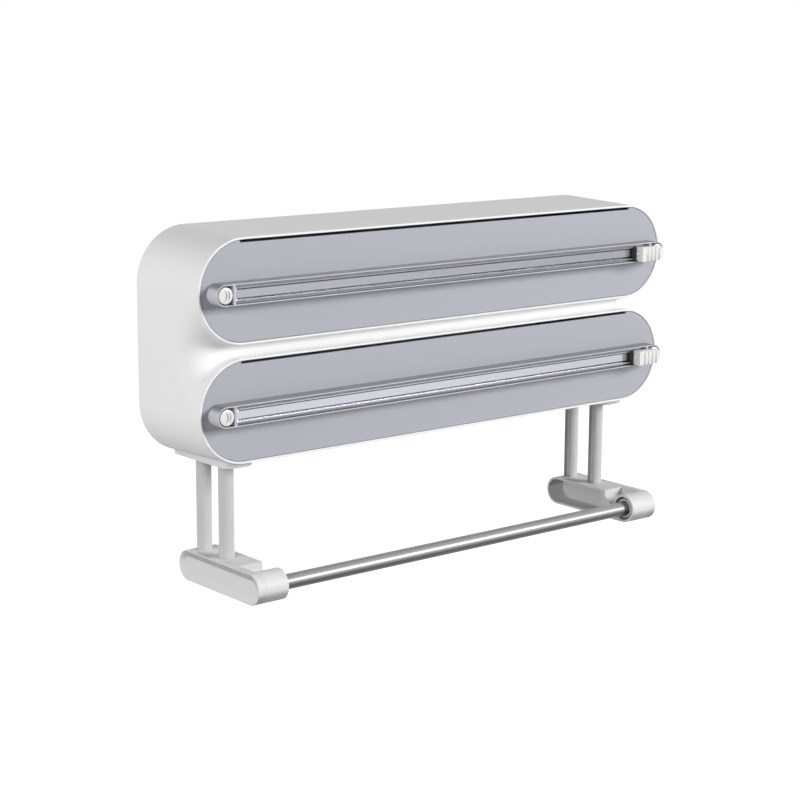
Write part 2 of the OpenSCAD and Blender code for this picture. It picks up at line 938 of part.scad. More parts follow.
// Arm: a shell open towards the roll, with a socket for the rod at its front end
module arm(side, socket_deep) {
    color(shell_white)
        on_side(side)
            difference() {
                union() {
                    difference() {
                        union() {
                            difference() {
                                translate([0, arm_mid, -rod_z])
                                    arm_slot(arm_in, arm_seam, arm_r);
                                translate([0, arm_mid, -rod_z])
                                    arm_slot(arm_in - over, arm_seam - arm_floor, arm_r - arm_wall);
                            }
                            // rib between the hollow and the socket
                            block([arm_in, -rod_y, -rod_z - arm_r + arm_wall/2],
                                [arm_seam, step_y + step_rib, arm_top - arm_wall/2]);
                        }
                        // gap between the platform and the socket: a step, then a slope
                        along_x(arm_in - over, arm_seam + over)
                            polygon([[step_y, arm_top + over], [step_y, arm_top - step_h],
                                [step_y - notch_w, arm_top - step_h - notch_w],
                                [-rod_y, arm_top - step_h - notch_w], [-rod_y, arm_top + over]]);
                    }
                    translate([0, -rod_y, -rod_z])
                        bar_x(arm_in, arm_seam, arm_r);
                }
                translate([0, -rod_y, -rod_z])
                    bar_x(arm_in - over, socket_deep, socket_r);
                for (y = post_places)
                    translate([holder_x, y, 0])
                        bar_z(arm_top - arm_wall - over, arm_top + over, spigot_r + run_gap);
                for (y = peg_places)
                    translate([0, y, -rod_z])
                        bar_x(arm_seam - arm_floor - over, arm_seam + over, peg_r + run_gap);
            }
}

// Stadium along Y, extruded across the arm
module arm_slot(x_low, x_high, r) {
    along_x(x_low, x_high)
        stadium(arm_half, r);
}

// Outer cover of an arm, with a dished face
module arm_cover(side) {
    color(shell_white)
        on_side(side) {
            difference() {
                translate([0, arm_mid, -rod_z])
                    arm_slot(arm_seam, arm_out, arm_r);
                translate([arm_out + over, arm_mid, -rod_z])
                    rotate([90, 0, -90])
                        stadium_frustum(arm_half, arm_r - dish_lip + over*dish_in/dish_d,
                            arm_r - dish_lip - dish_in, dish_d + over);
            }
            for (y = peg_places)
                translate([0, y, -rod_z])
                    bar_x(arm_seam - peg_len, arm_seam + cover_w/2, peg_r);
        }
}

// Cup that holds an end of the rod: a thin sleeve with a floor and a guiding flange
module rod_cup(side) {
    color(shell_white)
        on_side(side)
            translate([arm_in, -rod_y, -rod_z])
                difference() {
                    union() {
                        bar_x(cup_front, cup_back, cup_r);
                        bar_x(cup_back - cup_flange, cup_back, flange_r);
                    }
                    bar_x(cup_front - over, cup_front + cup_deep, cup_r - cup_wall);
                    bar_x(cup_front, cup_back + over, pin_r + run_gap);
                }
}

rod_spring_gap = 0.6;
rod_spring_r = socket_r - rod_spring_gap;
rod_spring_wire = 0.9;

module rod_spring() {
    color(metal_grey)
        translate([0, -rod_y, -rod_z])
            difference() {
                bar_x(arm_in + cup_back + cup_travel + slide_gap, arm_seam, rod_spring_r);
                bar_x(arm_in + cup_back, arm_seam + over, rod_spring_r - rod_spring_wire);
            }
}

module paper_rod() {
    color(metal_grey)
        translate([0, -rod_y, -rod_z])
            difference() {
                bar_x(-rod_end, rod_end, rod_r);
                bar_x(-rod_end - over, rod_end + over, rod_r - rod_wall);
            }
}

module rod_plugs() {
    color(dark_grey)
        for (s = sides)
            on_side(s)
                translate([0, -rod_y, -rod_z]) {
                    bar_x(rod_end - plug_len, rod_end, rod_r - rod_wall - run_gap);
                    bar_x(rod_end - over, rod_end + seat_gap + cup_floor - slide_gap, pin_r);
                }
}

front_shell();
back_plate();
back_screws();
catch_magnets();
bracket_plate(-1);  // left_bracket_plate
bracket_plate(1);  // right_bracket_plate
bracket_screws();
post(-1, 0);  // left_rear_post
post(-1, 1);  // left_front_post
post(1, 0);  // right_rear_post
post(1, 1);  // right_front_post
arm(-1, arm_in + cup_back);  // left_arm
arm(1, arm_seam + over);  // right_arm
arm_cover(-1);  // left_arm_cover
arm_cover(1);  // right_arm_cover
rod_cup(-1);  // left_rod_cup
rod_cup(1);  // right_rod_cup
rod_spring();
paper_rod();
rod_plugs();
drawer_front(upper_z);  // upper_drawer_front
roll_tray(upper_z);  // upper_roll_tray
rail_housing(upper_z);  // upper_rail_housing
cutter_track(upper_z);  // upper_cutter_track
latch_covers(upper_z);  // upper_latch_covers
latch_springs(upper_z);  // upper_latch_springs
button_springs(upper_z);  // upper_button_springs
strike_plates(upper_z);  // upper_strike_plates
cutter_grip(upper_z);  // upper_cutter_grip
cutter_foot(upper_z);  // upper_cutter_foot
cutter_blade(upper_z);  // upper_cutter_blade
button(upper_z, -1);  // upper_left_button
button(upper_z, 1);  // upper_right_button
latch(upper_z, -1);  // upper_left_latch
latch(upper_z, 1);  // upper_right_latch
roller(upper_z, 0);  // upper_front_roller
roller(upper_z, 1);  // upper_rear_roller
drawer_front(lower_z);  // lower_drawer_front
roll_tray(lower_z);  // lower_roll_tray
rail_housing(lower_z);  // lower_rail_housing
cutter_track(lower_z);  // lower_cutter_track
latch_covers(lower_z);  // lower_latch_covers
latch_springs(lower_z);  // lower_latch_springs
button_springs(lower_z);  // lower_button_springs
strike_plates(lower_z);  // lower_strike_plates
cutter_grip(lower_z);  // lower_cutter_grip
cutter_foot(lower_z);  // lower_cutter_foot
cutter_blade(lower_z);  // lower_cutter_blade
button(lower_z, -1);  // lower_left_button
button(lower_z, 1);  // lower_right_button
latch(lower_z, -1);  // lower_left_latch
latch(lower_z, 1);  // lower_right_latch
roller(lower_z, 0);  // lower_front_roller
roller(lower_z, 1);  // lower_rear_roller
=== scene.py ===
import bpy
import bmesh
import json
import math
import time
from mathutils import Matrix, Vector


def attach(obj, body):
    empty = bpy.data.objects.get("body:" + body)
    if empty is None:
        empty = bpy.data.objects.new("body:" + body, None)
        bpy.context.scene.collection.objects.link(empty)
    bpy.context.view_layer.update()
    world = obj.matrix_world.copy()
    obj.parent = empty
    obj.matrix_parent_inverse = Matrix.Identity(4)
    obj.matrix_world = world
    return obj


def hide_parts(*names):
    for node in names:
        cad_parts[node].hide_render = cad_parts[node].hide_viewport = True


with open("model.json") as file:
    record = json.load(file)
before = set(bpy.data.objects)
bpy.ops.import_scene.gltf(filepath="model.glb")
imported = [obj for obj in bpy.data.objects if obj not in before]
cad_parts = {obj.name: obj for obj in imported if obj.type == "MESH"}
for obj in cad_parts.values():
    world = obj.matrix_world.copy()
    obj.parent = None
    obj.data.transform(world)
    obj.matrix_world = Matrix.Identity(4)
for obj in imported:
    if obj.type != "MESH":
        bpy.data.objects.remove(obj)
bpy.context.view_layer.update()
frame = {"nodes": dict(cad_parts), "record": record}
nodes = frame["nodes"]
bodies = frame["record"]["behaviour"]["bodies"]
bodyOf = {node: body for body, members in bodies.items() for node in members}
mm = 0.001
print("frame loaded:", len(nodes), "nodes")

# camera, solved from the photograph

photoCamera = {
    "place": (-0.84669, -1.04789, 0.20748),
    "yaw": 39.315,      # turned from +Y towards +X
    "pitch": 11.246,    # looking down
    "roll": 0.313,
    "lens": 89.246,
    "sensor": 36.0,
    "nearest": 0.05,
    "farthest": 20.0,
}


def addCamera(look):
    yaw, pitch, roll = (math.radians(look[k]) for k in ("yaw", "pitch", "roll"))
    ahead = Vector((math.sin(yaw)*math.cos(pitch), math.cos(yaw)*math.cos(pitch), -math.sin(pitch)))
    flatRight = Vector((math.cos(yaw), -math.sin(yaw), 0))
    flatUp = flatRight.cross(ahead)
    right = flatRight*math.cos(roll) + flatUp*math.sin(roll)
    up = right.cross(ahead)
    bpy.ops.object.camera_add(location=look["place"])
    camera = bpy.context.object
    camera.name = "photoCamera"
    camera.rotation_euler = Matrix((right, up, -ahead)).transposed().to_euler()
    camera.data.lens = look["lens"]
    camera.data.sensor_width = look["sensor"]
    camera.data.clip_start = look["nearest"]
    camera.data.clip_end = look["farthest"]
    bpy.context.scene.camera = camera
    return camera


addCamera(photoCamera)

# light and stage


def mathNode(tree, operation, first, second):
    node = tree.nodes.new("ShaderNodeMath")
    node.operation = operation
    for socket, value in zip(node.inputs, (first, second)):
        if isinstance(value, (int, float)):
            socket.default_value = value
        else:
            tree.links.new(value, socket)
    return node.outputs[0]


studio = {
    "worldLevel": 0.05,
    "floorHeight": -0.62,
    "floorSize": 16.0,
    "floorColour": (0.36, 0.36, 0.36),
    "floorRoughness": 0.9,
    "floorSpecular": 0.2,
    "floorGloss": 0.9,                    # share of the floor's glow that glossy surfaces mirror
    "floorGlow": ((0.3, 0.8), (2.0, 1.0)),  # distance from the middle and strength, near and far
    "lamps": {
        # name: place, aimed at, size in metres, watts
        "left": ((-2.2, -0.45, 0.5), (0, 0, 0), (1.8, 1.9), 38),
        "leftHigh": ((-1.5, 0.2, 1.8), (0, 0, 0), (1.2, 1.2), 5),
        "key": ((2.3, -3.1, 1.25), (0, 0, 0), (1.5, 1.5), 165),
    },
}


def addLamp(name, place, target, size, watts):
    bpy.ops.object.light_add(type="AREA", location=place)
    lamp = bpy.context.object
    lamp.name = name + "Lamp"
    lamp.data.shape = "RECTANGLE"
    lamp.data.size, lamp.data.size_y = size
    lamp.data.energy = watts
    lamp.rotation_euler = (Vector(target) - Vector(place)).to_track_quat("-Z", "Y").to_euler()
    return lamp


def seenRay(tree, offGloss=1.0):
    # 1 for rays from the camera or through glass, and a share for those off gloss
    path = tree.nodes.new("ShaderNodeLightPath")
    direct = mathNode(tree, "MAXIMUM", path.outputs["Is Camera Ray"], path.outputs["Is Transmission Ray"])
    mirrored = mathNode(tree, "MULTIPLY", path.outputs["Is Glossy Ray"], offGloss)
    return mathNode(tree, "MAXIMUM", direct, mirrored)


def mixByRay(tree, ray, unseen, seen):
    mix = tree.nodes.new("ShaderNodeMixShader")
    tree.links.new(ray, mix.inputs[0])
    tree.links.new(unseen.outputs[0], mix.inputs[1])
    tree.links.new(seen.outputs[0], mix.inputs[2])
    return mix


def addBackground(tree, strength):
    background = tree.nodes.new("ShaderNodeBackground")
    background.inputs["Color"].default_value = (1, 1, 1, 1)
    background.inputs["Strength"].default_value = strength
    return background


def buildWorld(look):
    # white where the backdrop is seen, and a dim light everywhere else
    world = bpy.data.worlds.new("softStudio")
    bpy.context.scene.world = world
    world.use_nodes = True
    tree = world.node_tree
    tree.nodes.clear()
    mix = mixByRay(tree, seenRay(tree), addBackground(tree, look["worldLevel"]), addBackground(tree, 1.0))
    out = tree.nodes.new("ShaderNodeOutputWorld")
    tree.links.new(mix.outputs[0], out.inputs[0])


def makeFloorFinish(look):
    finish = bpy.data.materials.new("paleFloor")
    finish.use_nodes = True
    tree = finish.node_tree
    base = tree.nodes["Principled BSDF"]
    base.inputs["Base Color"].default_value = (*look["floorColour"], 1)
    base.inputs["Roughness"].default_value = look["floorRoughness"]
    base.inputs["Specular IOR Level"].default_value = look["floorSpecular"]
    glow = tree.nodes.new("ShaderNodeEmission")
    place = tree.nodes.new("ShaderNodeTexCoord")  # fades to plain white away from the object
    away = tree.nodes.new("ShaderNodeVectorMath")
    away.operation = "LENGTH"
    tree.links.new(place.outputs["Object"], away.inputs[0])
    fade = tree.nodes.new("ShaderNodeMapRange")
    for end, (distance, strength) in zip(("Min", "Max"), look["floorGlow"]):
        fade.inputs["From " + end].default_value = distance
        fade.inputs["To " + end].default_value = strength
    tree.links.new(away.outputs["Value"], fade.inputs["Value"])
    tree.links.new(fade.outputs[0], glow.inputs["Strength"])
    dark = tree.nodes.new("ShaderNodeEmission")
    dark.inputs["Strength"].default_value = 0.0
    shown = mixByRay(tree, seenRay(tree, look["floorGloss"]), dark, glow)
    add = tree.nodes.new("ShaderNodeAddShader")
    tree.links.new(base.outputs[0], add.inputs[0])
    tree.links.new(shown.outputs[0], add.inputs[1])
    tree.links.new(add.outputs[0], tree.nodes["Material Output"].inputs["Surface"])
    return finish


def buildStudio(look):
    bpy.context.scene.view_settings.view_transform = "Standard"
    for name, lamp in look["lamps"].items():
        addLamp(name, *lamp)
    buildWorld(look)
    bpy.ops.mesh.primitive_plane_add(size=look["floorSize"], location=(0, 0, look["floorHeight"]))
    floor = bpy.context.object
    floor.name = "studioFloor"
    floor.data.materials.append(makeFloorFinish(look))


buildStudio(studio)
print("camera, light and floor set")

# shader groups


def newGroup(name, inputs, outputs):
    group = bpy.data.node_groups.new(name, "ShaderNodeTree")
    kinds = {"colour": "NodeSocketColor", "number": "NodeSocketFloat", "vector": "NodeSocketVector"}
    for label, kind in inputs:
        socket = group.interface.new_socket(name=label, in_out="INPUT", socket_type=kinds[kind])
        if label.endswith(" Tone"):
            socket.default_value = 1.0  # no change where a finish gives no tone
    for label, kind in outputs:
        group.interface.new_socket(name=label, in_out="OUTPUT", socket_type=kinds[kind])
    return group, group.nodes.new("NodeGroupInput"), group.nodes.new("NodeGroupOutput")


paintedShadeFades = {
    # height of the surface's normal where the painted shade starts, and where it is full
    "mouldedPaintedTopShade": (0.35, 0.9),
    "mouldedPaintedUndersideShade": (0.0, -0.5),
    "drawnPaintedUndersideShade": (0.2, -0.25),
}


def paintedFacingShade(group, factor, tone, fadeName):
    # painted shade and painted reflection: faces that look up or down are darkened by the height of their normal
    start, end = paintedShadeFades[fadeName]
    facing = group.nodes.new("ShaderNodeNewGeometry")
    split = group.nodes.new("ShaderNodeSeparateXYZ")
    group.links.new(facing.outputs["Normal"], split.inputs[0])
    fade = group.nodes.new("ShaderNodeMapRange")
    fade.interpolation_type = "SMOOTHSTEP"
    fade.inputs["From Min"].default_value = start
    fade.inputs["From Max"].default_value = end
    fade.inputs["To Min"].default_value = 1.0
    group.links.new(split.outputs["Z"], fade.inputs["Value"])
    group.links.new(tone, fade.inputs["To Max"])
    return mathNode(group, "MULTIPLY", factor, fade.outputs["Result"])


def addNoise(group, vector, scale, detail, roughness=0.5):
    noise = group.nodes.new("ShaderNodeTexNoise")
    noise.inputs["Detail"].default_value = detail
    noise.inputs["Roughness"].default_value = roughness
    group.links.new(vector, noise.inputs["Vector"])
    if isinstance(scale, (int, float)):
        noise.inputs["Scale"].default_value = scale
    else:
        group.links.new(scale, noise.inputs["Scale"])
    return noise.outputs["Fac"]


def changedTone(group, given, pattern):
    # 1, give or take half of the tone's change
    centred = mathNode(group, "SUBTRACT", pattern, 0.5)
    return mathNode(group, "ADD", mathNode(group, "MULTIPLY", centred, given.outputs["Tone Change"]), 1.0)


def layPattern(group, given, result, factor, pattern, height):
    # the factor scales the colour, and the pattern changes the roughness and the normal
    tint = group.nodes.new("ShaderNodeVectorMath")
    tint.operation = "SCALE"
    group.links.new(given.outputs["Colour"], tint.inputs[0])
    group.links.new(factor, tint.inputs["Scale"])
    group.links.new(tint.outputs[0], result.inputs["Colour"])
    centred = mathNode(group, "SUBTRACT", pattern, 0.5)
    change = mathNode(group, "MULTIPLY", centred, given.outputs["Roughness Change"])
    group.links.new(mathNode(group, "ADD", given.outputs["Roughness"], change), result.inputs["Roughness"])
    bump = group.nodes.new("ShaderNodeBump")
    bump.inputs["Strength"].default_value = 1.0
    group.links.new(pattern, bump.inputs["Height"])
    group.links.new(height, bump.inputs["Distance"])
    group.links.new(bump.outputs["Normal"], result.inputs["Normal"])


sharedInputs = [("Colour", "colour"), ("Tone Change", "number"), ("Roughness", "number"),
                ("Roughness Change", "number")]
sharedOutputs = [("Colour", "colour"), ("Roughness", "number"), ("Normal", "vector")]
mouldedLook = {"cloudScale": 14, "cloudDetail": 3, "grainDetail": 4, "grainRoughness": 0.6}
drawnLook = {"stretch": (0.012, 1, 1), "lineDetail": 3}  # lines run along the metal's length, which is X


def buildMouldedGrainAndPaintedShade(look):
    group, given, result = newGroup(
        "mouldedGrainAndPaintedShade",
        sharedInputs + [("Grain Size", "number"), ("Grain Height", "number"), ("Painted Top Shade Tone", "number"),
                        ("Painted Underside Shade Tone", "number")],
        sharedOutputs)
    place = group.nodes.new("ShaderNodeTexCoord").outputs["Object"]
    # slow change of tone over the moulding, then its fine grain
    clouds = addNoise(group, place, look["cloudScale"], look["cloudDetail"])
    grainScale = mathNode(group, "DIVIDE", 1.0, given.outputs["Grain Size"])
    grain = addNoise(group, place, grainScale, look["grainDetail"], look["grainRoughness"])
    factor = changedTone(group, given, clouds)
    # painted shade on faces that look up and on faces that look down
    factor = paintedFacingShade(group, factor, given.outputs["Painted Top Shade Tone"], "mouldedPaintedTopShade")
    factor = paintedFacingShade(group, factor, given.outputs["Painted Underside Shade Tone"], "mouldedPaintedUndersideShade")
    layPattern(group, given, result, factor, grain, given.outputs["Grain Height"])
    return group


def buildDrawnLinesAndPaintedShade(look):
    group, given, result = newGroup(
        "drawnLinesAndPaintedShade",
        sharedInputs + [("Line Width", "number"), ("Line Height", "number"), ("Painted Underside Shade Tone", "number")],
        sharedOutputs)
    place = group.nodes.new("ShaderNodeTexCoord")
    stretch = group.nodes.new("ShaderNodeMapping")
    stretch.inputs["Scale"].default_value = look["stretch"]
    group.links.new(place.outputs["Object"], stretch.inputs["Vector"])
    lineScale = mathNode(group, "DIVIDE", 1.0, given.outputs["Line Width"])
    lines = addNoise(group, stretch.outputs[0], lineScale, look["lineDetail"])
    factor = changedTone(group, given, lines)
    # painted shade on faces that look down
    factor = paintedFacingShade(group, factor, given.outputs["Painted Underside Shade Tone"], "drawnPaintedUndersideShade")
    layPattern(group, given, result, factor, lines, given.outputs["Line Height"])
    return group


shaderGroups = {"mouldedGrainAndPaintedShade": buildMouldedGrainAndPaintedShade(mouldedLook), "drawnLinesAndPaintedShade": buildDrawnLinesAndPaintedShade(drawnLook)}

# finishes

finishes = {
    # name: group, then the group's values, then the shader's own values
    "shellWhite": ("mouldedGrainAndPaintedShade", {"Colour": (0.86, 0.86, 0.86, 1), "Tone Change": 0.02, "Roughness": 0.48,
                   "Roughness Change": 0.10, "Grain Size": 0.0006, "Grain Height": 0.000004},
                   {"Specular IOR Level": 0.2}),
    # painted shade: downward faces of the holder are darkened by their normal to 0.55 of the colour
    "holderWhite": ("mouldedGrainAndPaintedShade", {"Colour": (0.72, 0.72, 0.725, 1), "Tone Change": 0.02, "Roughness": 0.44,
                    "Roughness Change": 0.10, "Grain Size": 0.0006, "Grain Height": 0.000004, "Painted Underside Shade Tone": 0.55},
                    {"Specular IOR Level": 0.2}),
    # the holder's white with deeper painted shade on its downward faces, to darken the dish's upper slope
    "coverPaintedShadeWhite": ("mouldedGrainAndPaintedShade", {"Colour": (0.72, 0.72, 0.725, 1), "Tone Change": 0.02, "Roughness": 0.44,
                   "Roughness Change": 0.10, "Grain Size": 0.0006, "Grain Height": 0.000004, "Painted Underside Shade Tone": 0.45},
                   {"Specular IOR Level": 0.2}),
    # painted shade: the holder's white plastic made darker, standing in for the body's shade over the posts
    "postPaintedShadeWhite": ("mouldedGrainAndPaintedShade", {"Colour": (0.56, 0.56, 0.565, 1), "Tone Change": 0.02, "Roughness": 0.40,
                  "Roughness Change": 0.10, "Grain Size": 0.0006, "Grain Height": 0.000004},
                  {"Specular IOR Level": 0.3}),
    "frontGrey": ("mouldedGrainAndPaintedShade", {"Colour": (0.415, 0.43, 0.47, 1), "Tone Change": 0.03, "Roughness": 0.38,
                  "Roughness Change": 0.12, "Grain Size": 0.0007, "Grain Height": 0.000006},
                  {"Specular IOR Level": 0.25}),
    # painted shade: the rail's upward faces are darkened by their normal to 0.38 of the colour
    "railSilver": ("mouldedGrainAndPaintedShade", {"Colour": (0.55, 0.56, 0.60, 1), "Tone Change": 0.03, "Roughness": 0.30,
                   "Roughness Change": 0.08, "Grain Size": 0.0005, "Grain Height": 0.000003, "Painted Top Shade Tone": 0.38},
                   {"Specular IOR Level": 0.25}),
    "buttonWhite": ("mouldedGrainAndPaintedShade", {"Colour": (0.76, 0.76, 0.74, 1), "Tone Change": 0.02, "Roughness": 0.34,
                    "Roughness Change": 0.10, "Grain Size": 0.0004, "Grain Height": 0.000004}, {}),
    "darkPlastic": ("mouldedGrainAndPaintedShade", {"Colour": (0.022, 0.022, 0.025, 1), "Tone Change": 0.15, "Roughness": 0.42,
                    "Roughness Change": 0.15, "Grain Size": 0.0005, "Grain Height": 0.000008}, {}),
    "trayGrey": ("mouldedGrainAndPaintedShade", {"Colour": (0.30, 0.31, 0.33, 1), "Tone Change": 0.05, "Roughness": 0.5,
                 "Roughness Change": 0.15, "Grain Size": 0.0008, "Grain Height": 0.00001}, {}),
    # painted reflection: downward faces of the track are darkened by their normal to 0.6 of the colour
    "trackMetal": ("drawnLinesAndPaintedShade", {"Colour": (0.46, 0.47, 0.51, 1), "Tone Change": 0.06, "Roughness": 0.15,
                   "Roughness Change": 0.06, "Line Width": 0.0004, "Line Height": 0.0000008, "Painted Underside Shade Tone": 0.6},
                   {"Metallic": 1.0}),
    # painted reflection and painted shade: the rod's downward faces are darkened by their normal to 0.2 of the colour
    "rodSteel": ("drawnLinesAndPaintedShade", {"Colour": (0.30, 0.30, 0.30, 1), "Tone Change": 0.05, "Roughness": 0.32,
                 "Roughness Change": 0.04, "Line Width": 0.0005, "Line Height": 0.0000005, "Painted Underside Shade Tone": 0.2},
                 {"Metallic": 0.15, "Specular IOR Level": 0.6}),
    "screwSteel": ("drawnLinesAndPaintedShade", {"Colour": (0.62, 0.62, 0.62, 1), "Tone Change": 0.10, "Roughness": 0.28,
                   "Roughness Change": 0.15, "Line Width": 0.0003, "Line Height": 0.000004},
                   {"Metallic": 1.0}),
    "magnetGrey": ("mouldedGrainAndPaintedShade", {"Colour": (0.10, 0.10, 0.11, 1), "Tone Change": 0.2, "Roughness": 0.45,
                   "Roughness Change": 0.2, "Grain Size": 0.0004, "Grain Height": 0.00001}, {"Metallic": 0.6}),
}


def makeFinish(name, groupName, groupValues, shaderValues):
    finish = bpy.data.materials.new(name)
    finish.use_nodes = True
    tree = finish.node_tree
    shader = tree.nodes["Principled BSDF"]
    for label, value in shaderValues.items():
        shader.inputs[label].default_value = value
    pattern = tree.nodes.new("ShaderNodeGroup")
    pattern.node_tree = shaderGroups[groupName]
    for label, value in groupValues.items():
        pattern.inputs[label].default_value = value
    tree.links.new(pattern.outputs["Colour"], shader.inputs["Base Color"])
    tree.links.new(pattern.outputs["Roughness"], shader.inputs["Roughness"])
    tree.links.new(pattern.outputs["Normal"], shader.inputs["Normal"])
    return finish


finish = {name: makeFinish(name, *look) for name, look in finishes.items()}

slotFinish = {
    "shell": "shellWhite", "front": "frontGrey", "rail": "railSilver", "track": "trackMetal",
    "button": "buttonWhite", "dark": "darkPlastic", "inner": "trayGrey", "steel": "screwSteel",
    "rod": "rodSteel", "magnet": "magnetGrey",
}
slotOf = {part["node"]: part["material_slot"] for part in frame["record"]["subparts"]}


def paint(obj, name):
    obj.data.materials.clear()
    obj.data.materials.append(finish[name])


for name, obj in nodes.items():
    paint(obj, slotFinish[slotOf[name]])
print("finishes made and laid on the nodes")

# tools for modelling


def deselect():
    if bpy.context.mode != "OBJECT":
        bpy.ops.object.mode_set(mode="OBJECT")
    bpy.ops.object.select_all(action="DESELECT")


def hold(*objects):
    deselect()
    for obj in objects:
        obj.select_set(True)
    bpy.context.view_layer.objects.active = objects[0]


def pick(obj, faces=None, edges=None):
    # select faces or edges of the open mesh by a test, and return how many were found
    mesh = bmesh.from_edit_mesh(obj.data)
    mesh.select_mode = {"FACE"} if faces else {"EDGE"}
    for each in list(mesh.faces) + list(mesh.edges) + list(mesh.verts):
        each.select = False
    mesh.faces.ensure_lookup_table()
    mesh.normal_update()
    if faces:
        found = [f for f in mesh.faces if faces(f.calc_center_median(), f.normal)]
    else:
        found = [e for e in mesh.edges if len(e.link_faces) == 2 and edges((e.verts[0].co + e.verts[1].co)/2, e)]
    for each in found:
        each.select_set(True)
    mesh.select_flush_mode()
    bmesh.update_edit_mesh(obj.data)
    return len(found)


def applyAll(obj):
    hold(obj)
    for modifier in list(obj.modifiers):
        bpy.ops.object.modifier_apply(modifier=modifier.name)


def settle(obj):
    hold(obj)
    bpy.ops.object.transform_apply(location=True, rotation=True, scale=True)


def cutAway(obj, *cutters):
    for cutter in cutters:
        change = obj.modifiers.new("cut", "BOOLEAN")
        change.operation = "DIFFERENCE"
        change.solver = "EXACT"
        change.object = cutter
    applyAll(obj)
    for cutter in cutters:
        bpy.data.objects.remove(cutter)


def roundEdges(obj, width, segments=3, angle=38, smooth=40):
    change = obj.modifiers.new("edges", "BEVEL")
    change.width = width
    change.segments = segments
    change.limit_method = "ANGLE"
    change.angle_limit = math.radians(angle)
    change.miter_outer = "MITER_ARC"
    applyAll(obj)
    finishNormals(obj, smooth)


def finishNormals(obj, smooth=40, strongFaces=80):
    hold(obj)
    bpy.ops.object.shade_smooth_by_angle(angle=math.radians(smooth))
    even = obj.modifiers.new("even", "WEIGHTED_NORMAL")
    even.keep_sharp = True
    even.weight = strongFaces
    applyAll(obj)


def placeCopy(obj, name, move):
    hold(obj)
    bpy.ops.object.duplicate()
    twin = bpy.context.object
    twin.name = name
    twin.location = move
    settle(twin)
    return twin


def register(piece, node, look=None):
    paint(piece, look or slotFinish[slotOf[node]])
    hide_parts(node)
    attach(piece, bodyOf[node])


def addBlock(name, low, high):
    deselect()
    centre = [(a + b)/2*mm for a, b in zip(low, high)]
    bpy.ops.mesh.primitive_cube_add(size=1, location=centre)
    block = bpy.context.object
    block.name = name
    block.scale = [(b - a)*mm for a, b in zip(low, high)]
    settle(block)
    return block


def addRound(name, centre, radius, length, axis="Y", sides=48):
    deselect()
    turn = {"X": (0, math.pi/2, 0), "Y": (math.pi/2, 0, 0), "Z": (0, 0, 0)}[axis]
    bpy.ops.mesh.primitive_cylinder_add(vertices=sides, radius=radius*mm, depth=length*mm,
                                        location=[c*mm for c in centre], rotation=turn)
    drum = bpy.context.object
    drum.name = name
    settle(drum)
    return drum


# mouldings kept from the CAD, with their sharp edges taken off

softEdges = {
    # node: width of the edge in mm
    "back_plate": 0.25,
    "left_rod_cup": 0.15, "right_rod_cup": 0.15,
    "paper_rod": 0.2, "rod_plugs": 0.2,
    "catch_magnets": 0.2,
}
holderEdges = {
    "bracket_plate": 0.4, "rear_post": 0.12, "front_post": 0.12, "arm": 0.3,
}
eachBay = {
    "drawer_front": 0.25, "roll_tray": 0.2, "front_roller": 0.3, "rear_roller": 0.3,
    "rail_housing": 0.3, "cutter_foot": 0.2, "cutter_blade": 0.0,
    "left_latch": 0.15, "right_latch": 0.15, "latch_covers": 0.15, "strike_plates": 0.15,
}
keepTriangles = ("rail_housing", "drawer_front", "cutter_foot", "latch", "arm")
mergeLimits = {"weld": 0.002, "flat": 0.2}   # distance in mm, angle in degrees
# the wide flat faces of the fronts keep one normal, so long thin triangles don't show in them
smoothAngles = {"usual": 40, "drawer_front": 14}
for side in ("left", "right"):
    softEdges.update({side + "_" + node: width for node, width in holderEdges.items()})
for bay in ("upper", "lower"):
    softEdges.update({bay + "_" + node: width for node, width in eachBay.items()})


def mergedCopy(node, joinFlats=True):
    hold(nodes[node])
    bpy.ops.object.duplicate()
    piece = bpy.context.object
    piece.name = "soft_" + node
    bpy.ops.object.mode_set(mode="EDIT")
    bpy.ops.mesh.select_all(action="SELECT")
    bpy.ops.mesh.remove_doubles(threshold=mergeLimits["weld"]*mm)
    if joinFlats:
        bpy.ops.mesh.dissolve_limited(angle_limit=math.radians(mergeLimits["flat"]))
    bpy.ops.object.mode_set(mode="OBJECT")
    return piece


def softenNode(node, width):
    piece = mergedCopy(node, not node.endswith(keepTriangles))
    if width:
        kind = "drawer_front" if node.endswith("drawer_front") else "usual"
        roundEdges(piece, width*mm, smooth=smoothAngles[kind])
    else:
        finishNormals(piece)
    look = None
    # the posts get a darker white as painted shade
    if node.endswith("post"):
        look = "postPaintedShadeWhite"
    elif node.endswith(tuple(holderEdges)):
        look = "holderWhite"
    register(piece, node, look)
    return piece


for node, width in softEdges.items():
    started = time.time()
    piece = softenNode(node, width)
    print("softened", node, len(piece.data.polygons), "faces", round(time.time() - started, 2), "s")

# front shell: only the rims and the back edge are softened

shellEdges = {
    "levels": ((-65.5, 0.4), (0, 0.25)),  # y of the rims and of the back edge, each with its edge's width
    "near": 0.02, "sharp": 60, "segments": 3,
}


def softenShell(look):
    shell = mergedCopy("front_shell", joinFlats=False)
    hold(shell)
    bpy.ops.object.mode_set(mode="EDIT")
    for level, width in look["levels"]:
        found = pick(shell, edges=lambda place, e: all(abs(v.co.y - level*mm) < look["near"]*mm for v in e.verts)
                     and e.calc_face_angle(0) > math.radians(look["sharp"]))
        bpy.ops.mesh.bevel(offset=width*mm, segments=look["segments"], affect="EDGES", clamp_overlap=True)
        print("shell edges softened at", level, "mm:", found)
    bpy.ops.object.mode_set(mode="OBJECT")
    finishNormals(shell)
    register(shell, "front_shell")
    return shell


softenShell(shellEdges)

# the waist's round corners, which rise smoothly to the rims of both bays

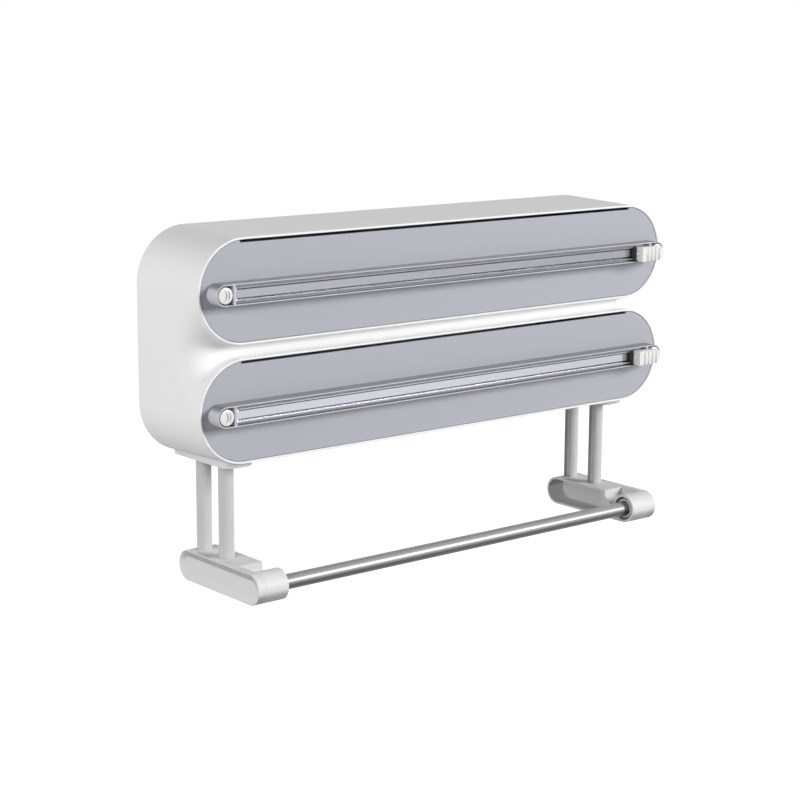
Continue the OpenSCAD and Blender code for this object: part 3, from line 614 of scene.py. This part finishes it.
waistCorner = {
    "straight": 165.0,      # half of the bays' straight length
    "rimRadius": 33.0,
    "bayCentre": 37.15,
    "rimFront": -65.5,
    "draft": 2.4,
    "depth": 65.5,
    "waistBack": 9.8,       # how far the waist lies behind the rims
    "cornerRadius": 20.0,
    "rimStep": 1.5,         # step left behind the rim at its outermost point
    "sideEnd": -30.0,
    "rimInset": 0.1,        # how far the edge lies inside the rim's own surface
    "risePower": 2.2,       # how late the surface rises from the waist to the rims
    "lift": 0.06,           # how far it stands off the shell's own faces
    "thick": 1.0,
    "smooth": 50,
    "rows": 44,
    "roundColumns": 26,
    "sideColumns": 8,
}


def sideX(look, y):
    return look["straight"] + look["rimRadius"] + look["draft"]*(look["depth"] + y)/look["depth"]


def waistPoint(look, along, across):
    # along: 0 at the end of the straight part, 1 where the flat side begins, 2 at the back edge
    # across: -1 at the lower bay, 1 at the upper bay
    front = look["rimFront"] + look["waistBack"]
    cornerY = front + look["cornerRadius"]
    cornerX = sideX(look, cornerY) - look["cornerRadius"]
    theta = math.radians(90*(1 - min(along, 1)))
    step = look["rimStep"] + (look["waistBack"] - look["rimStep"])*theta/math.radians(90)
    radius = look["rimRadius"] + look["draft"]*step/look["depth"] - look["rimInset"]
    rimX = look["straight"] + radius*math.cos(theta)
    rimY = look["rimFront"] + step
    rimZ = look["bayCentre"] - radius*math.sin(theta)
    reach = look["straight"] + look["rimRadius"]*math.cos(theta)
    if reach < cornerX:
        midX, midY = reach, front
    else:
        turned = min(1, (reach - cornerX)/(look["straight"] + look["rimRadius"] - cornerX))
        midX = cornerX + look["cornerRadius"]*turned
        midY = cornerY - look["cornerRadius"]*math.sqrt(1 - turned*turned)
    rise = abs(across)**look["risePower"]
    x = midX + (rimX - midX)*rise
    y = midY + (rimY - midY)*rise
    if along > 1:
        y = y + (look["sideEnd"] - y)*(along - 1)
        x = sideX(look, y)
    return x, y - look["lift"]*math.sin(theta), rimZ*across


def addWaistCorner(look, side, name):
    deselect()
    columns = look["roundColumns"] + look["sideColumns"]
    bpy.ops.mesh.primitive_grid_add(x_subdivisions=columns, y_subdivisions=look["rows"], size=2)
    corner = bpy.context.object
    corner.name = name
    for vertex in corner.data.vertices:
        column = round((vertex.co.x + 1)/2*columns)
        if column <= look["roundColumns"]:
            along = column/look["roundColumns"]
        else:
            along = 1 + (column - look["roundColumns"])/look["sideColumns"]
        x, y, z = waistPoint(look, along, vertex.co.y)
        vertex.co = (side*(x + look["lift"]*min(along, 1))*mm, y*mm, z*mm)
    hold(corner)
    bpy.ops.object.mode_set(mode="EDIT")
    bpy.ops.mesh.select_all(action="SELECT")
    if side > 0:
        bpy.ops.mesh.flip_normals()
    bpy.ops.object.mode_set(mode="OBJECT")
    # the wall grows inwards from the face that shows
    middle = min(corner.data.polygons, key=lambda face: face.center.y)
    wall = corner.modifiers.new("wall", "SOLIDIFY")
    wall.thickness = look["thick"]*mm
    wall.offset = -1 if middle.normal.y < 0 else 1
    print(name, "front face normal", [round(v, 2) for v in middle.normal])
    applyAll(corner)
    hold(corner)
    bpy.ops.object.shade_smooth_by_angle(angle=math.radians(look["smooth"]))
    paint(corner, "shellWhite")
    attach(corner, bodyOf["front_shell"])
    return corner


addWaistCorner(waistCorner, -1, "leftWaistCorner")
addWaistCorner(waistCorner, 1, "rightWaistCorner")
print("waist corners made")

# cutter track: a web with two lipped flanges and a raised band, made once and placed in both bays

trackShape = {
    "strips": {
        # low and high y, low and high z, in mm
        "band": ((-72.9, -71.9), (-2.5, 2.5)),
        "upperStep": ((-72.4, -71.9), (3.2, 4.4)),
        "lowerStep": ((-72.4, -71.9), (-4.4, -3.2)),
        "upperFlange": ((-74.5, -71.95), (3.9, 4.4)),
        "lowerFlange": ((-74.5, -71.95), (-4.4, -3.9)),
        "upperLip": ((-74.5, -74.0), (3.5, 4.3)),
        "lowerLip": ((-74.5, -74.0), (-4.3, -3.5)),
    },
    "half": 177.65, "edge": 0.05,
    "tie": 3.0, "tiePlace": ((-72.3, -71.9), (-4.3, 4.3)),  # length of the ties, then as for the strips
}
slotShape = {"inner": 2.45, "outer": 3.25, "floor": -72.2, "back": -71.9, "overlap": 0.1, "edge": 0.08}


def addTrack(look):
    strips = []
    for label, ((lowY, highY), (lowZ, highZ)) in look["strips"].items():
        strips.append(addBlock(label, (-look["half"], lowY, lowZ), (look["half"], highY, highZ)))
    # ties that join the strips at both ends
    (lowY, highY), (lowZ, highZ) = look["tiePlace"]
    for side in (-1, 1):
        lowX, highX = sorted((side*look["half"], side*(look["half"] - look["tie"])))
        strips.append(addBlock("tie", (lowX, lowY, lowZ), (highX, highY, highZ)))
    hold(*strips)
    bpy.ops.object.join()
    track = bpy.context.object
    track.name = "trackPattern"
    roundEdges(track, look["edge"]*mm, segments=1)
    return track


def addTrackStrips(look, slot, name, height):
    # painted shade: dark strips sunk in the two slots beside the band, so the slots read dark
    reach = look["half"] - look["tie"] + slot["overlap"]
    strips = [addBlock(name, (-reach, slot["floor"], height + low), (reach, slot["back"], height + high))
              for low, high in ((slot["inner"], slot["outer"]), (-slot["outer"], -slot["inner"]))]
    hold(*strips)
    bpy.ops.object.join()
    roundEdges(strips[0], slot["edge"]*mm, segments=1)
    return strips[0]


bayHeights = {"upper": 37.15, "lower": -37.15}
pattern = addTrack(trackShape)
for bay, height in bayHeights.items():
    track = placeCopy(pattern, bay + "CutterTrack", (0, 0, height*mm))
    register(track, bay + "_cutter_track")
    strips = addTrackStrips(trackShape, slotShape, bay + "TrackSlotShadeStrips", height)
    # dark plastic stands in for the shade in the slots
    paint(strips, "darkPlastic")
    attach(strips, bodyOf[bay + "_cutter_track"])
bpy.data.objects.remove(pattern)
print("cutter tracks made")

# cutter grip, drawn parked at the right end of the upper rail

gripShape = {
    "left": 165.0, "right": 186.2, "front": -81.4, "back": -76.4, "half": 5.1,
    "endShare": 0.999, "endSegments": 14,   # the round right end, as a share of the half height
    "neckRight": 176.9, "neckBack": -74.8,
    "grooves": 4, "grooveStart": 0.7, "groovePitch": 3.82, "grooveRadius": 1.7, "grooveDepth": 0.75,
    "grooveLean": 4.0, "grooveSides": 40,
    "edge": 0.35, "drop": 0.7,
    "slotHalf": 0.3, "slotFrom": 163.0, "slotTo": 171.1, "slotFront": -77.65, "slotBack": -74.0,
}


def addGrip(look):
    half = look["half"]
    low, high = -half - look["drop"], half - look["drop"]
    grip = addBlock("gripPattern", (look["left"], look["front"], low), (look["right"], look["back"], high))
    hold(grip)
    bpy.ops.object.mode_set(mode="EDIT")
    # the two edges from front to back at the right end
    pick(grip, edges=lambda place, e: place.x > (look["right"] - 0.1)*mm
         and abs(e.verts[0].co.y - e.verts[1].co.y) > 1*mm)
    bpy.ops.mesh.bevel(offset=half*look["endShare"]*mm, segments=look["endSegments"], affect="EDGES",
                       clamp_overlap=True)
    # neck behind the left part, between the rail's walls
    bpy.ops.mesh.select_all(action="SELECT")
    bpy.ops.mesh.bisect(plane_co=(look["neckRight"]*mm, 0, 0), plane_no=(1, 0, 0))
    bpy.ops.mesh.select_all(action="SELECT")
    bpy.ops.mesh.bisect(plane_co=(0, 0, -half*mm), plane_no=(0, 0, 1))
    pick(grip, faces=lambda place, normal: normal.y > 0.9 and place.x < look["neckRight"]*mm and place.z > -half*mm)
    neckLength = (look["neckBack"] - look["back"])*mm
    bpy.ops.mesh.extrude_region_move(TRANSFORM_OT_translate={"value": (0, neckLength, 0)})
    bpy.ops.object.mode_set(mode="OBJECT")
    cutters = []
    grooveY = look["front"] - look["grooveRadius"] + look["grooveDepth"]
    lean = Matrix.Rotation(math.radians(look["grooveLean"]), 4, "X")
    for i in range(look["grooves"]):
        x = look["left"] + look["grooveStart"] + look["groovePitch"]*(i + 1)
        cutter = addRound("groove", (x, grooveY, 0), look["grooveRadius"], 6*half, axis="Z",
                          sides=look["grooveSides"])
        pivot = Vector((x*mm, grooveY*mm, 0))
        cutter.matrix_world = Matrix.Translation(pivot) @ lean @ Matrix.Translation(-pivot)
        settle(cutter)
        cutters.append(cutter)
    cutters.append(addBlock("slot", (look["slotFrom"], look["slotFront"], -look["slotHalf"]),
                            (look["slotTo"], look["slotBack"], look["slotHalf"])))
    cutAway(grip, *cutters)
    roundEdges(grip, look["edge"]*mm, segments=3, angle=30)
    return grip


pattern = addGrip(gripShape)
for bay, height in bayHeights.items():
    grip = placeCopy(pattern, bay + "CutterGrip", (0, 0, height*mm))
    register(grip, bay + "_cutter_grip", "buttonWhite")
bpy.data.objects.remove(pattern)
print("cutter grips made")

# round button: a domed cap with two crescent grooves, and a stem with a sloping end that drives the latch

buttonShape = {
    "axis": 185.2, "capFront": -76.1, "capBack": -72.6, "capRadius": 5.05,
    "domeHigh": 0.45, "domeSteps": ((0.30, 0.16), (0.50, 0.13), (0.90, 0.10), (1.30, 0.06)),
    "crescents": ((0.4, -1.4, 3.6, 1.1), (2.4, 0.7, 3.3, 1.0)),  # middle, end, reach and width, towards the rail
    "crescentDepth": 0.75, "crescentOver": 1.0, "crescentSides": 96,
    "stemRadius": 2.0, "stemEnd": -61.6, "stemOverlap": 0.5, "edge": 0.1,
}


def arcThrough(middle, end, reach):
    # circle through the middle and both ends: its centre and radius
    rise = middle - end
    radius = (reach*reach + rise*rise)/(2*rise)
    return middle - radius, radius


def addButton(look, side, name):
    axis = side*look["axis"]
    front = look["capFront"] + look["domeHigh"]
    cap = addRound(name, (axis, (front + look["capBack"])/2, 0), look["capRadius"], look["capBack"] - front, sides=72)
    hold(cap)
    bpy.ops.object.mode_set(mode="EDIT")
    pick(cap, faces=lambda place, normal: normal.y < -0.9)
    for inset, rise in look["domeSteps"]:
        bpy.ops.mesh.inset(thickness=inset*mm, depth=rise*mm)
    bpy.ops.object.mode_set(mode="OBJECT")
    cutters = []
    sides = look["crescentSides"]
    low, high = look["capFront"] - look["crescentOver"], look["capFront"] + look["crescentDepth"]
    for middle, end, reach, width in look["crescents"]:
        outer, outerRadius = arcThrough(middle + width/2, end, reach)
        inner, innerRadius = arcThrough(middle - width/2, end, reach)
        cutter = addRound("crescent", (axis - side*outer, (low + high)/2, 0), outerRadius, high - low, sides=sides)
        core = addRound("core", (axis - side*inner, (low + high)/2, 0), innerRadius, high - low + 1, sides=sides)
        cutAway(cutter, core)
        cutters.append(cutter)
    cutAway(cap, *cutters)
    stemStart = look["capBack"] - look["stemOverlap"]
    stem = addRound("stem", (axis, (stemStart + look["stemEnd"])/2, 0), look["stemRadius"],
                    look["stemEnd"] - stemStart, sides=40)
    hold(stem)
    bpy.ops.object.mode_set(mode="EDIT")
    bpy.ops.mesh.select_all(action="SELECT")
    bpy.ops.mesh.bisect(plane_co=((axis - side*look["stemRadius"])*mm, look["stemEnd"]*mm, 0),
                        plane_no=(side, 1, 0), clear_outer=True, use_fill=True)
    bpy.ops.object.mode_set(mode="OBJECT")
    hold(cap, stem)
    bpy.ops.object.join()
    roundEdges(cap, look["edge"]*mm, segments=2, angle=50)
    return cap


for label, side in (("left", -1), ("right", 1)):
    pattern = addButton(buttonShape, side, label + "ButtonPattern")
    for bay, height in bayHeights.items():
        button = placeCopy(pattern, bay + label.capitalize() + "Button", (0, 0, height*mm))
        register(button, bay + "_" + label + "_button", "buttonWhite")
    bpy.data.objects.remove(pattern)
print("buttons made")

# wire springs, each a coil of round wire

coilShapes = {
    # sizes of the coil, where it starts on the right, and how it points on the right and on the left
    "button": {"radius": 3.2, "wire": 0.3, "turns": 2.5, "length": 2.6, "start": (185.2, -70.6), "axes": ("Y", "Y")},
    "latch": {"radius": 1.0, "wire": 0.17, "turns": 1.5, "length": 1.0, "start": (191.5, -61.3), "axes": ("X", "-X")},
}
rodCoilShape = {"radius": 7.8, "wire": 0.37, "turns": 1.0, "length": 1.7, "start": (167.3, -82, -145.3)}
wireLook = {"sides": 12, "stepsPerTurn": 40, "smooth": 50}


def addCoil(look, name, start, axis):
    # the wire's round section is swept about the axis, then its two ends are closed
    deselect()
    middle = look["radius"] - look["wire"]
    bpy.ops.mesh.primitive_circle_add(vertices=wireLook["sides"], radius=look["wire"]*mm,
                                      rotation=(math.pi/2, 0, 0), location=(middle*mm, 0, look["wire"]*mm))
    coil = bpy.context.object
    coil.name = name
    settle(coil)
    sweep = coil.modifiers.new("sweep", "SCREW")
    sweep.axis = "Z"
    sweep.angle = math.radians(360*look["turns"])
    sweep.screw_offset = (look["length"] - 2*look["wire"])*mm
    sweep.steps = sweep.render_steps = int(wireLook["stepsPerTurn"]*look["turns"])
    sweep.use_merge_vertices = False
    applyAll(coil)
    hold(coil)
    bpy.ops.object.mode_set(mode="EDIT")
    bpy.ops.mesh.select_all(action="SELECT")
    bpy.ops.mesh.fill_holes(sides=0)
    bpy.ops.mesh.select_all(action="SELECT")
    bpy.ops.mesh.normals_make_consistent(inside=False)
    bpy.ops.object.mode_set(mode="OBJECT")
    turns = {"X": (0, math.pi/2, 0), "-X": (0, -math.pi/2, 0), "Y": (-math.pi/2, 0, 0)}
    coil.rotation_euler = turns[axis]
    coil.location = [c*mm for c in start]
    settle(coil)
    finishNormals(coil, wireLook["smooth"])
    return coil


for bay, height in bayHeights.items():
    for kind, look in coilShapes.items():
        x, y = look["start"]
        pair = [addCoil(look, bay + kind.capitalize() + "Springs", (side*x, y, height), axis)
                for side, axis in zip((1, -1), look["axes"])]
        hold(*pair)
        bpy.ops.object.join()
        register(pair[0], bay + "_" + kind + "_springs")
rodCoil = addCoil(rodCoilShape, "rodCoil", rodCoilShape["start"], "X")
register(rodCoil, "rod_spring")
print("springs made")

# screws with cross recesses: a tapered head for the back, a flat head for the plates

screwShapes = {
    "back": {
        "rings": ((0, 2.8), (1.4, 1.1)),  # from the head's face: distance along the screw, radius
        "length": 13.9, "pitch": 1.3,
        "recess": (0.7, 3.0, 1.1),        # width, length and depth of the cross
        "turn": (-math.pi/2, 0, 0), "places": [(x, -0.1, 0) for x in (-178, -60, 60, 178)],
    },
    "plate": {
        "rings": ((0, 2.2), (0.25, 2.6), (1.0, 2.6), (1.0, 1.1)),
        "length": 6.2, "pitch": 1.1,
        "recess": (0.65, 2.8, 0.75),
        "turn": (math.pi, 0, 0), "places": [(x, y, -74.1) for x in (-163.05, 163.05) for y in (-28.4, -53)],
    },
}
threadShape = {
    "core": 0.8, "crest": 1.1,      # radii
    "neck": 1.0,                    # from the head to the first groove
    "crestStart": 0.45, "crestEnd": 0.55,
    "plain": 2.2, "taper": 1.4,     # lengths at the tip without thread, and with the taper
}


def screwOutline(look, thread):
    rings = [(0, 0)] + list(look["rings"])
    along = rings[-1][0] + thread["neck"]
    while along < look["length"] - thread["plain"]:
        rings += [(along, thread["core"]), (along + thread["crestStart"], thread["crest"]),
                  (along + thread["crestEnd"], thread["crest"])]
        along += look["pitch"]
    return rings + [(look["length"] - thread["taper"], thread["core"]), (look["length"], 0)]


def addScrew(look, name):
    # one side of the screw's outline is drawn, then spun about Z; the head's face lies at z 0 and the tip below it
    rings = screwOutline(look, threadShape)
    outline = bpy.data.meshes.new(name)
    outline.from_pydata([(r*mm, 0, -a*mm) for a, r in rings], [(i, i + 1) for i in range(len(rings) - 1)], [])
    screw = bpy.data.objects.new(name, outline)
    bpy.context.scene.collection.objects.link(screw)
    hold(screw)
    bpy.ops.object.mode_set(mode="EDIT")
    bpy.ops.mesh.select_all(action="SELECT")
    bpy.ops.mesh.spin(steps=32, angle=2*math.pi, center=(0, 0, 0), axis=(0, 0, 1))
    bpy.ops.mesh.select_all(action="SELECT")
    bpy.ops.mesh.remove_doubles(threshold=0.000005)
    bpy.ops.mesh.normals_make_consistent(inside=False)
    bpy.ops.object.mode_set(mode="OBJECT")
    width, length, depth = look["recess"]
    cutAway(screw, addBlock("slotA", (-length/2, -width/2, -depth), (length/2, width/2, 1)),
            addBlock("slotB", (-width/2, -length/2, -depth), (width/2, length/2, 1)))
    finishNormals(screw, 30)
    return screw


def addScrews(look, name, node):
    pattern = addScrew(look, name + "Pattern")
    pattern.rotation_euler = look["turn"]
    settle(pattern)
    screws = [placeCopy(pattern, name, [c*mm for c in place]) for place in look["places"]]
    bpy.data.objects.remove(pattern)
    hold(*screws)
    bpy.ops.object.join()
    register(screws[0], node)


addScrews(screwShapes["back"], "backScrews", "back_screws")
addScrews(screwShapes["plate"], "plateScrews", "bracket_screws")
print("screws made")

# arm covers: a plate with round ends and a dished outer face, pegged to the arm

coverShape = {
    "seam": 169.0, "outer": 174.4, "middle": -47.5, "half": 34.5, "radius": 10.0, "height": -145.3, "sides": 96,
    "dish": ((0.7, 0), (3.8, -1.35), (2.0, -0.1)),  # inset and depth of each step inwards
    "pegs": (-30.25, -56.125), "pegRadius": 1.5, "pegEnd": 166.3, "pegRoot": 1.0, "pegSides": 32,
    "edge": 0.25, "edgeAngle": 35, "smooth": 14,  # the dish's slopes keep crisp edges
}


def addArmCover(look, side, name):
    # a round plate whose two halves are moved apart, then stepped inwards on its outer face
    middle = side*(look["seam"] + look["outer"])/2
    cover = addRound(name, (middle, look["middle"], look["height"]), look["radius"], look["outer"] - look["seam"],
                     axis="X", sides=look["sides"])
    for v in cover.data.vertices:
        away = v.co.y - look["middle"]*mm
        if abs(away) > 0.0001*look["radius"]*mm:
            v.co.y += math.copysign(look["half"]*mm, away)
    hold(cover)
    bpy.ops.object.mode_set(mode="EDIT")
    pick(cover, faces=lambda place, normal: normal.x*side > 0.9)
    for inset, depth in look["dish"]:
        bpy.ops.mesh.inset(thickness=inset*mm, depth=depth*mm)
    bpy.ops.object.mode_set(mode="OBJECT")
    low, high = sorted((side*look["pegEnd"], side*(look["seam"] + look["pegRoot"])))
    pegs = [addRound("peg", ((low + high)/2, y, look["height"]), look["pegRadius"], high - low, axis="X",
                     sides=look["pegSides"]) for y in look["pegs"]]
    hold(cover, *pegs)
    bpy.ops.object.join()
    roundEdges(cover, look["edge"]*mm, segments=3, angle=look["edgeAngle"], smooth=look["smooth"])
    return cover


# the covers take the holder's white with deeper painted shade underneath
for label, side in (("left", -1), ("right", 1)):
    register(addArmCover(coverShape, side, label + "ArmCover"), label + "_arm_cover", "coverPaintedShadeWhite")
print("arm covers made")
